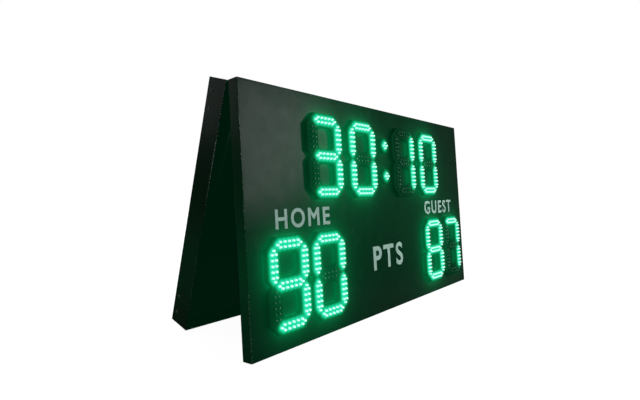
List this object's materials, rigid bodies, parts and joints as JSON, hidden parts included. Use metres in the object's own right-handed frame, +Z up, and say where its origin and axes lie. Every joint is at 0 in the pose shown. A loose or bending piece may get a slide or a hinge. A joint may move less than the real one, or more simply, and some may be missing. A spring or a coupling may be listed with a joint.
{
  "type": "electronic scoreboard",
  "caption": "Folding A-shaped electronic scoreboard: two flat black cabinets hinged along the top and held open by slotted stays, with lamp figures for a clock and two scores on both sides.",
  "frame": {"origin": "on the floor, below the middle of the standing board", "axes": "+X to the right of someone who faces the front, +Y to the rear, +Z up"},
  "size_m": [1.1034, 0.3226, 0.6043],
  "materials": {
    "black_paint": "fine-textured satin",
    "black_plastic": "matt",
    "black_rubber": "matt",
    "zinc_steel": "zinc plated",
    "bare_aluminium": "satin",
    "circuit_board": "solder mask",
    "lead_sheath": "satin"
  },
  "bodies": {
    "front_board": {"front_tray": "black_paint", "front_cover": "black_paint", "front_figure_clock_1": "black_plastic", "front_figure_clock_2": "black_plastic", "front_figure_clock_3": "black_plastic", "front_figure_clock_4": "black_plastic", "front_figure_left_1": "black_plastic", "front_figure_left_2": "black_plastic", "front_figure_right_1": "black_plastic", "front_figure_right_2": "black_plastic", "front_colon": "black_plastic", "front_driver_board": "circuit_board", "front_loom": "lead_sheath", "front_foot_left": "black_rubber", "front_foot_right": "black_rubber", "bumper_left": "black_rubber", "bumper_right": "black_rubber", "hinge_front_leaf_left": "zinc_steel", "hinge_front_leaf_middle": "zinc_steel", "hinge_front_leaf_right": "zinc_steel", "stay_bracket_left": "black_paint", "stay_bracket_right": "black_paint", "front_grommet": "black_rubber", "link_lead_front": "lead_sheath"},
    "rear_board": {"rear_tray": "black_paint", "rear_cover": "black_paint", "rear_figure_clock_1": "black_plastic", "rear_figure_clock_2": "black_plastic", "rear_figure_clock_3": "black_plastic", "rear_figure_clock_4": "black_plastic", "rear_figure_left_1": "black_plastic", "rear_figure_left_2": "black_plastic", "rear_figure_right_1": "black_plastic", "rear_figure_right_2": "black_plastic", "rear_colon": "black_plastic", "rear_driver_board": "circuit_board", "rear_loom": "lead_sheath", "rear_foot_left": "black_rubber", "rear_foot_right": "black_rubber", "hinge_rear_leaf_left": "zinc_steel", "hinge_rear_leaf_middle": "zinc_steel", "hinge_rear_leaf_right": "zinc_steel", "corner_bracket_upper_left": "zinc_steel", "corner_bracket_upper_right": "zinc_steel", "corner_bracket_lower_left": "zinc_steel", "corner_bracket_lower_right": "zinc_steel", "power_supply": "bare_aluminium", "control_board": "circuit_board", "sounder": "black_plastic", "connector_dish": "black_paint", "power_inlet": "black_plastic", "switch_frame": "black_plastic", "rear_grommet": "black_rubber", "link_lead_rear": "lead_sheath"},
    "stay_left": {"stay_arm_left": "black_paint"},
    "stay_right": {"stay_arm_right": "black_paint"},
    "switch": {"switch_rocker": "black_plastic"}
  },
  "joints": [
    {"name": "board_fold", "type": "hinge", "parent": "front_board", "child": "rear_board", "pos_m": [0, -0.01674, 0.59678], "axis": [1, 0, 0], "range_deg": [-19.5, 0]},
    {"name": "stay_left_pivot", "type": "hinge", "parent": "front_board", "child": "stay_left", "pos_m": [-0.533, -0.02327, 0.49639], "axis": [1, 0, 0], "range_deg": [-31.4, 0]},
    {"name": "stay_right_pivot", "type": "hinge", "parent": "front_board", "child": "stay_right", "pos_m": [0.533, -0.02327, 0.49639], "axis": [1, 0, 0], "range_deg": [-31.4, 0]},
    {"name": "switch_rock", "type": "hinge", "parent": "rear_board", "child": "switch", "pos_m": [0.5258, 0.11202, 0.11705], "axis": [0, 0.9848, 0.1736], "range_deg": [-14, 0]}
  ],
  "couplings": [
    {"joint": "stay_left_pivot", "follows": "board_fold", "ratio": 1.606},
    {"joint": "stay_right_pivot", "follows": "board_fold", "ratio": 1.606}
  ]
}
